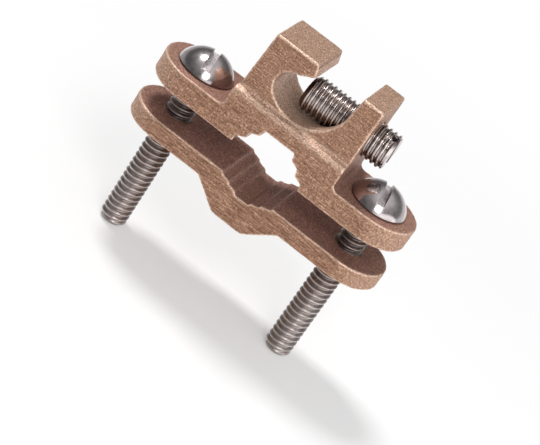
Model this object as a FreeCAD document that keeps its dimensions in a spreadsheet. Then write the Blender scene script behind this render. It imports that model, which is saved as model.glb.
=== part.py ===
import FreeCAD, Part
import math
import os
import re
import Sketcher

# Rebar earthing clamp: two cast bronze jaws pulled together on a bar by two
# slotted round-head screws, with a lay-in lug cast on the upper jaw where a
# slotted set screw grips the earth wire.
#
# Frame: origin on the bar's axis at the middle of the jaws, +Y along the bar,
# +Z along the clamp screws towards their heads, +X from the hook to the post.
# Lengths are in millimetres.

PARTS_FOLDER = "parts"
TEETH_PER_SIDE = 2

# Driving dimensions: alias, value, what it measures.
DRIVING_SIZES = [
    ("bar_radius", 5.65, "bar that touches every tooth of both jaws"),
    ("jaw_depth", 13.4, "depth of both jaws along the bar"),
    ("screw_offset", 17.3, "clamp screw axis from the middle plane"),
    ("ear_past_screw", 7.2, "ear end past the clamp screw's axis"),
    ("upper_face", 1.2, "underside of the upper ears above the bar axis"),
    ("upper_ear_thickness", 3.9, "upper ears"),
    ("yoke_half", 10.8, "half width of the block between the upper ears"),
    ("ledge_rise", 4.1, "ledge under the lug above the ear tops"),
    ("upper_mouth_half", 6.5, "half width of the upper notch at its mouth"),
    ("lower_mouth_half", 4.9, "half width of the lower notch at its mouth"),
    ("tooth_run", 1.7, "sideways step from one tooth to the next"),
    ("upper_tread_rise", 0.55, "rise of each upper tread over its run"),
    ("lower_tread_rise", 0.38, "rise of each lower tread over its run"),
    ("riser_lean", 0.2, "lean of each riser towards the middle"),
    ("notch_relief", 0.3, "space past the bar at the bottom of each notch"),
    ("ledge_width", 1.3, "ledge before and behind the lug"),
    ("lug_rise", 10.6, "top of hook and post above the ledge"),
    ("hook_step", 0.25, "hook's outer side in from the block's side"),
    ("hook_lean", 0.75, "lean of the hook's outer side over its height"),
    ("hook_top_end", 1.65, "inner end of the hook's top from the middle plane"),
    ("lip_nose", 1.05, "nose of the hook's lip from the middle plane"),
    ("lip_nose_drop", 2.25, "nose of the hook's lip below the lug top"),
    ("cup_radius", 2.75, "round cup that holds the wire"),
    ("cup_offset", 3.45, "cup axis from the middle plane"),
    ("cup_rise", 4.3, "cup axis above the ledge"),
    ("floor_radius", 7.0, "swept floor between cup and post"),
    ("floor_offset", 0.5, "centre of the floor's arc from the middle plane"),
    ("post_draft", 0.45, "lean of the post's inner side up to its top"),
    ("ear_round", 1.0, "casting fillet between block and ears"),
    ("ledge_round", 1.1, "rounding of the ledge's outer edges"),
    ("lug_edge", 0.25, "rounding of the lug's outer edges"),
    ("grip_gap", 5.05, "space between the facing sides of the ears"),
    ("lower_ear_thickness", 3.2, "lower ears"),
    ("belly_half", 8.0, "half width of the belly where it leaves the ears"),
    ("belly_flat_half", 2.9, "half width of the belly's flat"),
    ("belly_drop", 3.9, "belly's flat below the ears' underside"),
    ("belly_round", 1.6, "rounding between the belly's flat and slopes"),
    ("screw_diameter", 4.83, "clamp screw across its thread crests"),
    ("screw_length", 31.75, "clamp screw under its head"),
    ("head_diameter", 9.9, "round head of a clamp screw"),
    ("head_height", 3.5, "round head of a clamp screw"),
    ("head_rim", 0.3, "bevel round the head's bearing face"),
    ("head_slot_width", 1.3, "driver slot of a clamp screw"),
    ("head_slot_depth", 1.9, "driver slot below the head's crown"),
    ("screw_point", 0.6, "chamfer at a clamp screw's end"),
    ("ear_hole_clearance", 0.3, "radial, clamp screw in the upper ear's hole"),
    ("thread_clearance", 0.03, "radial, thread crests in a tapped hole"),
    ("left_slot_turn", 10.0, "degrees, left slot from the bar's direction"),
    ("right_slot_turn", 12.0, "degrees, right slot from the bar's direction"),
    ("set_diameter", 6.35, "set screw across its thread crests"),
    ("set_length", 16.5, "set screw"),
    ("set_tip", 1.9, "set screw's tip from the middle plane"),
    ("set_drop", 0.4, "set screw axis below the cup axis"),
    ("set_slot_width", 1.15, "driver slot of the set screw"),
    ("set_slot_depth", 1.5, "driver slot of the set screw"),
    ("set_point", 0.8, "chamfer at the set screw's gripping end"),
    ("set_edge", 0.4, "chamfer at the set screw's slotted end"),
    ("set_slot_turn", 110.0, "degrees, set screw's slot from the bar's direction"),
]

# Sizes that follow from the driving ones: alias, formula.
DERIVED_SIZES = [
    ("lower_face", "grip_gap - upper_face"),
    ("ear_reach", "screw_offset + ear_past_screw"),
    ("ear_end_radius", "jaw_depth / 2"),
    ("ear_end_offset", "ear_reach - ear_end_radius"),
    ("ear_top", "upper_face + upper_ear_thickness"),
    ("ledge", "ear_top + ledge_rise"),
    ("lug_top", "ledge + lug_rise"),
    ("lug_depth", "jaw_depth - 2 * ledge_width"),
    ("cup_height", "ledge + cup_rise"),
    ("set_height", "cup_height - set_drop"),
    ("notch_bottom", "bar_radius + notch_relief"),
    ("tapped_radius", "screw_diameter / 2 + thread_clearance"),
    ("ear_hole_radius", "screw_diameter / 2 + ear_hole_clearance"),
    ("set_hole_radius", "set_diameter / 2 + thread_clearance"),
    ("ear_underside", "lower_face + lower_ear_thickness"),
    ("belly_bottom", "ear_underside + belly_drop"),
    ("crown_rise", "head_height - head_rim"),
    ("crown_radius", "(head_diameter ^ 2 / 4 + crown_rise ^ 2) / (2 * crown_rise)"),
]

ALIASES = re.compile(r"\b(" + "|".join(entry[0] for entry in DRIVING_SIZES + DERIVED_SIZES) + r")\b")


def make_sheet(doc):
    """Fill the spreadsheet with the driving sizes and those that follow from them."""
    sheet = doc.addObject("Spreadsheet::Sheet", "Sizes")
    row = 1
    for alias, value, meaning in DRIVING_SIZES:
        sheet.set(f"A{row}", alias)
        sheet.set(f"B{row}", str(value))
        sheet.set(f"C{row}", meaning)
        sheet.setAlias(f"B{row}", alias)
        row += 1
    doc.recompute()
    for alias, formula in DERIVED_SIZES:
        sheet.set(f"A{row}", alias)
        sheet.set(f"B{row}", "=" + formula)
        sheet.setAlias(f"B{row}", alias)
        doc.recompute()
        row += 1


def sized(formula):
    """Turn a formula over the aliases into an expression that reads the sheet."""
    return ALIASES.sub(r"Sizes.\1", formula)


def value_of(doc, formula):
    """Work out a formula over the aliases."""
    return float(doc.Sizes.evalExpression(sized(formula)))


def spot_of(doc, across, up):
    """Work out a sketch point given as two formulas."""
    return FreeCAD.Vector(value_of(doc, across), value_of(doc, up), 0)


def new_body(doc, label):
    """Add an empty body under the name of its piece."""
    body = doc.addObject("PartDesign::Body", label)
    body.Label = label
    return body


def origin_item(body, role):
    """Find one of the body's own origin planes or axes."""
    return next(item for item in body.Origin.OriginFeatures if item.Role == role)


def new_sketch(body, name, role, lift=None):
    """Attach an empty sketch to an origin plane, lifted along its normal."""
    sketch = body.newObject("Sketcher::SketchObject", name)
    sketch.AttachmentSupport = [(origin_item(body, role), "")]
    sketch.MapMode = "FlatFace"
    if lift:
        sketch.setExpression("AttachmentOffset.Base.z", sized(lift))
    return sketch


def drive(sketch, name, kind, geometry, formula):
    """Add a sketch dimension that reads the sheet."""
    start = value_of(sketch.Document, formula)
    index = sketch.addConstraint(Sketcher.Constraint(kind, *geometry, start))
    sketch.renameConstraint(index, name)
    sketch.setExpression("Constraints." + name, sized(formula))


def place_point(sketch, name, geometry, point, across, up):
    """Fix a sketch point by its two distances from the origin."""
    drive(sketch, name + "_across", "DistanceX", (-1, 1, geometry, point), across)
    drive(sketch, name + "_up", "DistanceY", (-1, 1, geometry, point), up)


def draw_polygon(sketch, corners):
    """Draw a closed outline through corners that are pairs of formulas."""
    spots = [spot_of(sketch.Document, across, up) for across, up in corners]
    count = len(corners)
    for index in range(count):
        sketch.addGeometry(Part.LineSegment(spots[index], spots[(index + 1) % count]), False)
    for index, (across, up) in enumerate(corners):
        sketch.addConstraint(Sketcher.Constraint("Coincident", (index - 1) % count, 2, index, 1))
        place_point(sketch, f"corner{index}", index, 1, across, up)


def draw_circle(sketch, name, across, up, radius):
    """Draw a circle whose centre and radius read the sheet."""
    doc = sketch.Document
    circle = Part.Circle(spot_of(doc, across, up), FreeCAD.Vector(0, 0, 1), value_of(doc, radius))
    index = sketch.addGeometry(circle, False)
    place_point(sketch, name, index, 3, across, up)
    drive(sketch, name + "_radius", "Radius", (index,), radius)


def draw_ear_outline(sketch):
    """Draw the plan of a jaw: straight sides closed by a half round at each ear."""
    doc = sketch.Document
    end = value_of(doc, "ear_end_offset")
    radius = value_of(doc, "ear_end_radius")
    upwards = FreeCAD.Vector(0, 0, 1)
    quarter = math.pi / 2
    right_circle = Part.Circle(FreeCAD.Vector(end, 0, 0), upwards, radius)
    left_circle = Part.Circle(FreeCAD.Vector(-end, 0, 0), upwards, radius)
    front = Part.LineSegment(FreeCAD.Vector(-end, -radius, 0), FreeCAD.Vector(end, -radius, 0))
    back = Part.LineSegment(FreeCAD.Vector(end, radius, 0), FreeCAD.Vector(-end, radius, 0))
    sketch.addGeometry(front, False)
    sketch.addGeometry(Part.ArcOfCircle(right_circle, -quarter, quarter), False)
    sketch.addGeometry(back, False)
    sketch.addGeometry(Part.ArcOfCircle(left_circle, quarter, 3 * quarter), False)
    for side in range(4):
        sketch.addConstraint(Sketcher.Constraint("Tangent", side, 2, (side + 1) % 4, 1))
    sketch.addConstraint(Sketcher.Constraint("Horizontal", 0))
    sketch.addConstraint(Sketcher.Constraint("PointOnObject", 1, 3, -1))
    drive(sketch, "right_end", "DistanceX", (-1, 1, 1, 3), "ear_end_offset")
    drive(sketch, "left_end", "DistanceX", (3, 3, -1, 1), "ear_end_offset")
    drive(sketch, "end_radius", "Radius", (1,), "ear_end_radius")


def draw_lug_front(sketch):
    """Draw the lay-in lug: hook, wire cup, swept floor and post in one outline.

    The cup's arc and the floor's arc share a tangent where they meet, which
    sets the height of the floor's centre.
    """
    doc = sketch.Document
    cup = spot_of(doc, "-cup_offset", "cup_height")
    cup_radius = value_of(doc, "cup_radius")
    floor_radius = value_of(doc, "floor_radius")
    floor_across = -value_of(doc, "floor_offset")
    apart = floor_radius - cup_radius
    floor = FreeCAD.Vector(floor_across, cup.y + math.sqrt(apart ** 2 - (cup.x - floor_across) ** 2), 0)
    meeting = math.atan2(cup.y - floor.y, cup.x - floor.x) % (2 * math.pi)
    upwards = FreeCAD.Vector(0, 0, 1)
    cup_arc = Part.ArcOfCircle(Part.Circle(cup, upwards, cup_radius), math.pi / 2, meeting)
    floor_arc = Part.ArcOfCircle(Part.Circle(floor, upwards, floor_radius), meeting, 2 * math.pi)
    cup_index = sketch.addGeometry(cup_arc, False)
    floor_index = sketch.addGeometry(floor_arc, False)

    # From the post's top, round the outside, to the nose of the hook's lip.
    corners = [
        ("floor_radius - floor_offset + post_draft", "lug_top"),
        ("yoke_half", "lug_top"),
        ("yoke_half", "ear_top"),
        ("hook_step - yoke_half", "ear_top"),
        ("hook_step - yoke_half", "ledge"),
        ("hook_step + hook_lean - yoke_half", "lug_top"),
        ("-hook_top_end", "lug_top"),
        ("-lip_nose", "lug_top - lip_nose_drop"),
    ]
    path = [floor_arc.EndPoint] + [spot_of(doc, across, up) for across, up in corners]
    path.append(cup_arc.StartPoint)
    first_line = floor_index + 1
    for start, end in zip(path, path[1:]):
        sketch.addGeometry(Part.LineSegment(start, end), False)
    last_line = first_line + len(path) - 2

    sketch.addConstraint(Sketcher.Constraint("Tangent", cup_index, 2, floor_index, 1))
    sketch.addConstraint(Sketcher.Constraint("Coincident", floor_index, 2, first_line, 1))
    sketch.addConstraint(Sketcher.Constraint("Coincident", last_line, 2, cup_index, 1))
    sketch.addConstraint(Sketcher.Constraint("Vertical", cup_index, 3, cup_index, 1))
    sketch.addConstraint(Sketcher.Constraint("Horizontal", floor_index, 3, floor_index, 2))
    place_point(sketch, "cup", cup_index, 3, "-cup_offset", "cup_height")
    drive(sketch, "cup_radius", "Radius", (cup_index,), "cup_radius")
    drive(sketch, "floor_radius", "Radius", (floor_index,), "floor_radius")
    drive(sketch, "floor_across", "DistanceX", (-1, 1, floor_index, 3), "-floor_offset")
    for number, (across, up) in enumerate(corners):
        line = first_line + number
        sketch.addConstraint(Sketcher.Constraint("Coincident", line, 2, line + 1, 1))
        place_point(sketch, f"corner{number}", line, 2, across, up)


def draw_turned_half(sketch, corners, crown=None):
    """Draw half of a turned piece, from the bottom of its axis to the top.

    The outline goes up through the corners. With a crown, given as the
    formulas of its arc's radius and top, its last stretch is a dome's arc.
    """
    doc = sketch.Document
    spots = [spot_of(doc, across, up) for across, up in corners]
    for start, end in zip(spots, spots[1:]):
        sketch.addGeometry(Part.LineSegment(start, end), False)
    count = len(corners) - 1
    for index in range(1, count):
        sketch.addConstraint(Sketcher.Constraint("Coincident", index - 1, 2, index, 1))
    for index, (across, up) in enumerate(corners[:-1]):
        place_point(sketch, f"corner{index}", index, 1, across, up)
    place_point(sketch, "last_corner", count - 1, 2, *corners[-1])
    last = count - 1
    if crown:
        radius, top = crown
        top_height = value_of(doc, top)
        centre = FreeCAD.Vector(0, top_height - value_of(doc, radius), 0)
        rim = spots[-1] - centre
        circle = Part.Circle(centre, FreeCAD.Vector(0, 0, 1), value_of(doc, radius))
        arc = Part.ArcOfCircle(circle, math.atan2(rim.y, rim.x), math.pi / 2)
        last = sketch.addGeometry(arc, False)
        sketch.addConstraint(Sketcher.Constraint("Coincident", last - 1, 2, last, 1))
        sketch.addConstraint(Sketcher.Constraint("PointOnObject", last, 3, -2))
        sketch.addConstraint(Sketcher.Constraint("PointOnObject", last, 2, -2))
        drive(sketch, "crown_top", "DistanceY", (-1, 1, last, 2), top)
        spots.append(FreeCAD.Vector(0, top_height, 0))
    axis = sketch.addGeometry(Part.LineSegment(spots[-1], spots[0]), False)
    sketch.addConstraint(Sketcher.Constraint("Coincident", last, 2, axis, 1))
    sketch.addConstraint(Sketcher.Constraint("Coincident", axis, 2, 0, 1))


def pad(body, name, sketch, length, symmetric=False):
    """Raise a sketch to a length that reads the sheet."""
    feature = body.newObject("PartDesign::Pad", name)
    feature.Profile = sketch
    if symmetric:
        feature.SideType = "Symmetric"
    feature.setExpression("Length", sized(length))
    body.Document.recompute()


def pocket(body, name, sketch, length, symmetric=False, reverse=False):
    """Cut a sketch out of the body and make sure that it took metal away."""
    before = body.Shape.Volume
    feature = body.newObject("PartDesign::Pocket", name)
    feature.Profile = sketch
    feature.Reversed = reverse
    if symmetric:
        feature.SideType = "Symmetric"
    feature.setExpression("Length", sized(length))
    body.Document.recompute()
    if body.Shape.Volume >= before:
        raise RuntimeError(name + " cuts nothing")


def revolve(body, name, sketch):
    """Turn a half outline about the body's own Z axis."""
    feature = body.newObject("PartDesign::Revolution", name)
    feature.Profile = sketch
    feature.ReferenceAxis = (origin_item(body, "Z_Axis"), [""])
    feature.Angle = 360
    body.Document.recompute()


def round_edges(body, name, radius, chosen):
    """Fillet those edges of the body that a test picks out."""
    base = body.Tip
    names = [f"Edge{number}" for number, edge in enumerate(base.Shape.Edges, 1) if chosen(edge)]
    if not names:
        raise RuntimeError(name + " finds no edge")
    feature = body.newObject("PartDesign::Fillet", name)
    feature.Base = (base, names)
    feature.setExpression("Radius", sized(radius))
    body.Document.recompute()
    if not feature.isValid() or feature.Shape.isNull():
        raise RuntimeError(name + " failed")


def near(first, second):
    """Tell whether two lengths are the same to a hundredth of a millimetre."""
    return abs(first - second) < 0.01


def lies_at(edge, axis, level):
    """Tell whether a whole edge lies at one level of an axis."""
    box = edge.BoundBox
    return near(getattr(box, axis + "Min"), level) and near(getattr(box, axis + "Max"), level)


def lies_on_sides(edge, axis, distance):
    """Tell whether a whole edge lies at a distance from the middle, on either side."""
    return lies_at(edge, axis, distance) or lies_at(edge, axis, -distance)


def notch_corners(mouth, face, tread_rise, side):
    """List the corners of a toothed notch in a jaw's face.

    Each tooth's edge lies on the bar's circle, so the bar touches all of them.
    Side is an empty text for the upper jaw and a minus sign for the lower one.
    """
    half = [(mouth, f"{side}({face})")]
    for tooth in range(1, TEETH_PER_SIDE + 1):
        root = f"{mouth} - {tooth - 1} * tooth_run - riser_lean"
        edge = f"{mouth} - {tooth} * tooth_run"
        height = f"sqrt(bar_radius ^ 2 - ({edge}) ^ 2)"
        half.append((root, f"{side}({height} - {tread_rise})"))
        half.append((edge, f"{side}{height}"))
    half.append((f"{mouth} - {TEETH_PER_SIDE} * tooth_run - riser_lean", f"{side}notch_bottom"))
    mirrored = [(f"-({across})", up) for across, up in reversed(half)]
    return half + mirrored


def make_upper_jaw(doc):
    """Cast upper jaw: ears, toothed notch and the lay-in lug above them."""
    body = new_body(doc, "upper_jaw")
    ears = new_sketch(body, "ear_outline", "XY_Plane", "upper_face")
    draw_ear_outline(ears)
    pad(body, "ears", ears, "upper_ear_thickness")

    yoke = new_sketch(body, "yoke_front", "XZ_Plane")
    draw_polygon(yoke, [
        ("-yoke_half", "upper_face"),
        ("yoke_half", "upper_face"),
        ("yoke_half", "ledge"),
        ("-yoke_half", "ledge"),
    ])
    pad(body, "yoke", yoke, "jaw_depth", symmetric=True)

    lug = new_sketch(body, "lug_front", "XZ_Plane")
    draw_lug_front(lug)
    pad(body, "lug", lug, "lug_depth", symmetric=True)

    top = value_of(doc, "ear_top")
    side = value_of(doc, "yoke_half")
    ledge = value_of(doc, "ledge")
    lug_top = value_of(doc, "lug_top")
    jaw_face = value_of(doc, "jaw_depth / 2")
    lug_face = value_of(doc, "lug_depth / 2")
    round_edges(body, "ear_fillets", "ear_round",
                lambda edge: lies_at(edge, "Z", top) and lies_on_sides(edge, "X", side))
    round_edges(body, "lug_edges", "lug_edge",
                lambda edge: lies_at(edge, "Z", lug_top)
                or (lies_on_sides(edge, "Y", lug_face) and not lies_at(edge, "Z", ledge)))
    round_edges(body, "ledge_rounds", "ledge_round",
                lambda edge: lies_at(edge, "Z", ledge) and lies_on_sides(edge, "Y", jaw_face))

    notch = new_sketch(body, "upper_notch", "XZ_Plane")
    draw_polygon(notch, notch_corners("upper_mouth_half", "upper_face", "upper_tread_rise", ""))
    pocket(body, "notch", notch, "jaw_depth", symmetric=True)

    holes = new_sketch(body, "ear_hole_centres", "XY_Plane", "upper_face")
    draw_circle(holes, "left", "-screw_offset", "0", "ear_hole_radius")
    draw_circle(holes, "right", "screw_offset", "0", "ear_hole_radius")
    pocket(body, "ear_holes", holes, "upper_ear_thickness", reverse=True)

    tapped = new_sketch(body, "set_screw_centre", "YZ_Plane")
    draw_circle(tapped, "set", "0", "set_height", "set_hole_radius")
    pocket(body, "set_screw_hole", tapped, "yoke_half", reverse=True)
    return body


def make_lower_jaw(doc):
    """Cast lower jaw: ears tapped for the clamp screws and a toothed belly."""
    body = new_body(doc, "lower_jaw")
    ears = new_sketch(body, "ear_outline_below", "XY_Plane", "-ear_underside")
    draw_ear_outline(ears)
    pad(body, "ears_below", ears, "lower_ear_thickness")

    belly = new_sketch(body, "belly_front", "XZ_Plane")
    draw_polygon(belly, [
        ("-belly_half", "-ear_underside"),
        ("-belly_flat_half", "-belly_bottom"),
        ("belly_flat_half", "-belly_bottom"),
        ("belly_half", "-ear_underside"),
    ])
    pad(body, "belly", belly, "jaw_depth", symmetric=True)

    underside = -value_of(doc, "ear_underside")
    bottom = -value_of(doc, "belly_bottom")
    half_width = value_of(doc, "belly_half")
    flat_half = value_of(doc, "belly_flat_half")
    round_edges(body, "belly_rounds", "belly_round",
                lambda edge: lies_at(edge, "Z", bottom) and lies_on_sides(edge, "X", flat_half))
    round_edges(body, "belly_fillets", "ear_round",
                lambda edge: lies_at(edge, "Z", underside) and lies_on_sides(edge, "X", half_width))

    notch = new_sketch(body, "lower_notch", "XZ_Plane")
    draw_polygon(notch, notch_corners("lower_mouth_half", "lower_face", "lower_tread_rise", "-"))
    pocket(body, "notch_below", notch, "jaw_depth", symmetric=True)

    holes = new_sketch(body, "tapped_hole_centres", "XY_Plane", "-ear_underside")
    draw_circle(holes, "left", "-screw_offset", "0", "tapped_radius")
    draw_circle(holes, "right", "screw_offset", "0", "tapped_radius")
    pocket(body, "tapped_holes", holes, "lower_ear_thickness", reverse=True)
    return body


def cut_slot(body, name, level, width, depth, length, turn):
    """Cut a driver slot down from a level, turned from the body's own Y axis."""
    sketch = new_sketch(body, name + "_outline", "XY_Plane", level)
    sketch.AttachmentOffset.Rotation = FreeCAD.Rotation(FreeCAD.Vector(0, 0, 1), 1)
    sketch.setExpression("AttachmentOffset.Rotation.Angle", sized(turn))
    draw_polygon(sketch, [
        (f"-{width} / 2", f"-{length} / 2"),
        (f"{width} / 2", f"-{length} / 2"),
        (f"{width} / 2", f"{length} / 2"),
        (f"-{width} / 2", f"{length} / 2"),
    ])
    pocket(body, name, sketch, depth)


def make_clamp_screw(doc, label, across, slot_turn):
    """Round-head slotted screw, hanging under its head from the upper ear."""
    body = new_body(doc, label)
    half = new_sketch(body, label + "_half", "XZ_Plane")
    draw_turned_half(half, [
        ("0", "-screw_length"),
        ("screw_diameter / 2 - screw_point", "-screw_length"),
        ("screw_diameter / 2", "screw_point - screw_length"),
        ("screw_diameter / 2", "0"),
        ("head_diameter / 2 - head_rim", "0"),
        ("head_diameter / 2", "head_rim"),
    ], crown=("crown_radius", "head_height"))
    revolve(body, label + "_turned", half)
    cut_slot(body, label + "_slot", "head_height", "head_slot_width", "head_slot_depth", "head_diameter",
             slot_turn)
    body.setExpression("Placement.Base.x", sized(across))
    body.setExpression("Placement.Base.z", sized("ear_top"))
    return body


def make_set_screw(doc):
    """Slotted set screw that lies along +X, its point towards the cup."""
    body = new_body(doc, "set_screw")
    half = new_sketch(body, "set_screw_half", "XZ_Plane")
    draw_turned_half(half, [
        ("0", "0"),
        ("set_diameter / 2 - set_point", "0"),
        ("set_diameter / 2", "set_point"),
        ("set_diameter / 2", "set_length - set_edge"),
        ("set_diameter / 2 - set_edge", "set_length"),
        ("0", "set_length"),
    ])
    revolve(body, "set_screw_turned", half)
    cut_slot(body, "set_screw_slot", "set_length", "set_slot_width", "set_slot_depth", "set_diameter",
             "set_slot_turn")
    body.setExpression("Placement.Base.x", sized("-set_tip"))
    body.setExpression("Placement.Base.z", sized("set_height"))
    body.Placement.Rotation = FreeCAD.Rotation(FreeCAD.Vector(0, 1, 0), 90)
    return body


def check_document(doc, bodies):
    """Stop if any object failed or any piece is not one valid solid."""
    doc.recompute()
    for item in doc.Objects:
        if "Invalid" in item.State or "Error" in item.State:
            raise RuntimeError(f"{item.Label} is {item.State}")
    for body in bodies:
        shape = body.Shape
        if shape.isNull() or not shape.isValid() or len(shape.Solids) != 1:
            raise RuntimeError(body.Label + " is not one valid solid")


def main():
    """Build every piece and write one STEP file for each."""
    doc = FreeCAD.newDocument("rebar_earthing_clamp")
    make_sheet(doc)
    bodies = [
        make_upper_jaw(doc),
        make_lower_jaw(doc),
        make_clamp_screw(doc, "left_clamp_screw", "-screw_offset", "left_slot_turn"),
        make_clamp_screw(doc, "right_clamp_screw", "screw_offset", "right_slot_turn"),
        make_set_screw(doc),
    ]
    check_document(doc, bodies)
    os.makedirs(PARTS_FOLDER, exist_ok=True)
    for body in bodies:
        body.Shape.exportStep(os.path.join(PARTS_FOLDER, body.Label + ".step"))
        box = body.Shape.BoundBox
        print(f"{body.Label}: {body.Shape.Volume:.1f} mm3, x {box.XMin:.2f} to {box.XMax:.2f},"
              f" y {box.YMin:.2f} to {box.YMax:.2f}, z {box.ZMin:.2f} to {box.ZMax:.2f}")


main()
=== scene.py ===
import logging
import math
from collections.abc import Iterable
from dataclasses import dataclass, field
from enum import Enum

import bmesh
import bpy
from mathutils import Matrix, Vector, noise
from mathutils.bvhtree import BVHTree


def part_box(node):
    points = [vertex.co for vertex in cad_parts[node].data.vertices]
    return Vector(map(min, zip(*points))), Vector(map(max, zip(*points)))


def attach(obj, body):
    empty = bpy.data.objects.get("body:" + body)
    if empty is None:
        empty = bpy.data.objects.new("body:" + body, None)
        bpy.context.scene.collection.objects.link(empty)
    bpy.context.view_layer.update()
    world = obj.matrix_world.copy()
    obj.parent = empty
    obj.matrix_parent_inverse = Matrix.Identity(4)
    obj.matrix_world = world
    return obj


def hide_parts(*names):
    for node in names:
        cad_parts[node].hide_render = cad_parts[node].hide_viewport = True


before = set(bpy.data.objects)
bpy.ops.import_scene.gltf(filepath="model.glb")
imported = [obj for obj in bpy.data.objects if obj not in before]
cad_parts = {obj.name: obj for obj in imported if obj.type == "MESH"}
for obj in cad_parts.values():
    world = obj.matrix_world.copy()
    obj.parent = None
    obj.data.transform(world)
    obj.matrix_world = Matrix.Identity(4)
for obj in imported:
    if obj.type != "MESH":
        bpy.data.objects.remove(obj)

# Looks of the rebar earthing clamp: two sand-cast bronze jaws, two slotted
# round-head clamp screws and a slotted set screw, with real helical threads.
# Lengths are metres; MM turns the millimetres that a maker would write.

MM = 0.001
MERGE_DISTANCE = 0.001 * MM
CUT_DISTANCE = MERGE_DISTANCE / 10
SAME_LEVEL = 4 * MERGE_DISTANCE

# A Mix node's sockets share their names, so they are told by their numbers.
MIX_SHARE = 0
FIRST_NUMBER, SECOND_NUMBER, MIXED_NUMBER = 2, 3, 0
FIRST_COLOUR, SECOND_COLOUR, MIXED_COLOUR = 6, 7, 2

log = logging.getLogger("rebar_earthing_clamp")


def linear_colour(hex_code: str) -> tuple[float, float, float, float]:
    """Turn an sRGB hex colour into the linear one that shaders take.

    Args:
        hex_code: Six hex digits after a hash mark.

    Returns:
        Linear red, green, blue and an alpha of one.
    """
    levels = [int(hex_code[start:start + 2], 16) / 255 for start in (1, 3, 5)]
    red, green, blue = (
        level / 12.92 if level <= 0.04045 else ((level + 0.055) / 1.055) ** 2.4
        for level in levels)
    return (red, green, blue, 1.0)


def add_node(tree: bpy.types.NodeTree, kind: str, inputs: dict[str | int, object] | None = None,
             **settings: object) -> bpy.types.Node:
    """Add a shader node with its settings, values and links.

    Args:
        tree: Node tree that takes the node.
        kind: Type name of the node.
        inputs: Value, or output socket to link, for each input's name or number.
        settings: Properties of the node itself.

    Returns:
        The new node.
    """
    node = tree.nodes.new(kind)
    for name, value in settings.items():
        setattr(node, name, value)
    for key, value in (inputs or {}).items():
        if isinstance(value, bpy.types.NodeSocket):
            tree.links.new(value, node.inputs[key])
        else:
            node.inputs[key].default_value = value
    return node


def per_metre(millimetres: float) -> float:
    """Give the texture scale of a pattern whose features are so many millimetres wide."""
    return 1.0 / (millimetres * MM)


def new_material(name: str) -> bpy.types.Material:
    """Add a material with an empty node tree.

    Args:
        name: Name of the material.

    Returns:
        The new material.
    """
    material = bpy.data.materials.new(name)
    material.use_nodes = True
    material.node_tree.nodes.clear()
    return material


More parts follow.
